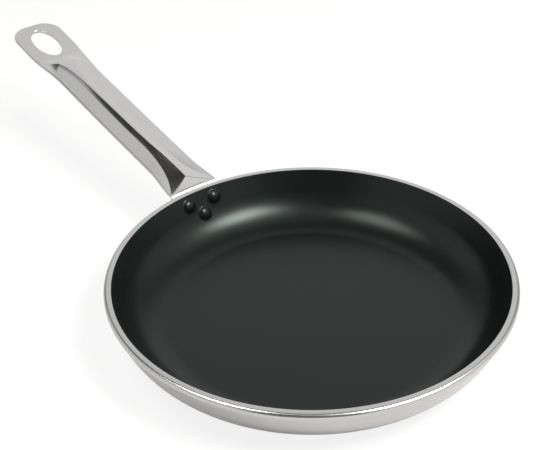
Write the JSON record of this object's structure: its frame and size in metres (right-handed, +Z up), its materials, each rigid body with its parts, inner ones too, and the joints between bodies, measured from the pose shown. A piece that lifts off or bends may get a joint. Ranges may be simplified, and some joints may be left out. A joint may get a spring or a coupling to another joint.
{
  "type": "omelette pan",
  "caption": "Shallow round pan with sloping walls, a black non-stick lining and a long flat pressed steel handle with an oval hanging eye.",
  "frame": {"origin": "middle of the flat underside of the base", "axes": "+Z up, +X along the handle away from the pan, +Y to the left of the handle"},
  "size_m": [0.4539, 0.24, 0.0735],
  "materials": {
    "pan_aluminium": "satin, turned, with a bare machined rim",
    "nonstick_black": "black non-stick coating, soft sheen",
    "handle_steel": "satin stainless steel",
    "rivet_metal": "satin rivet heads"
  },
  "bodies": {
    "root": {"pan_body": "pan_aluminium", "nonstick_lining": "nonstick_black", "handle": "handle_steel", "rivet_left": "rivet_metal", "rivet_right": "rivet_metal", "rivet_lower": "rivet_metal"}
  },
  "joints": []
}
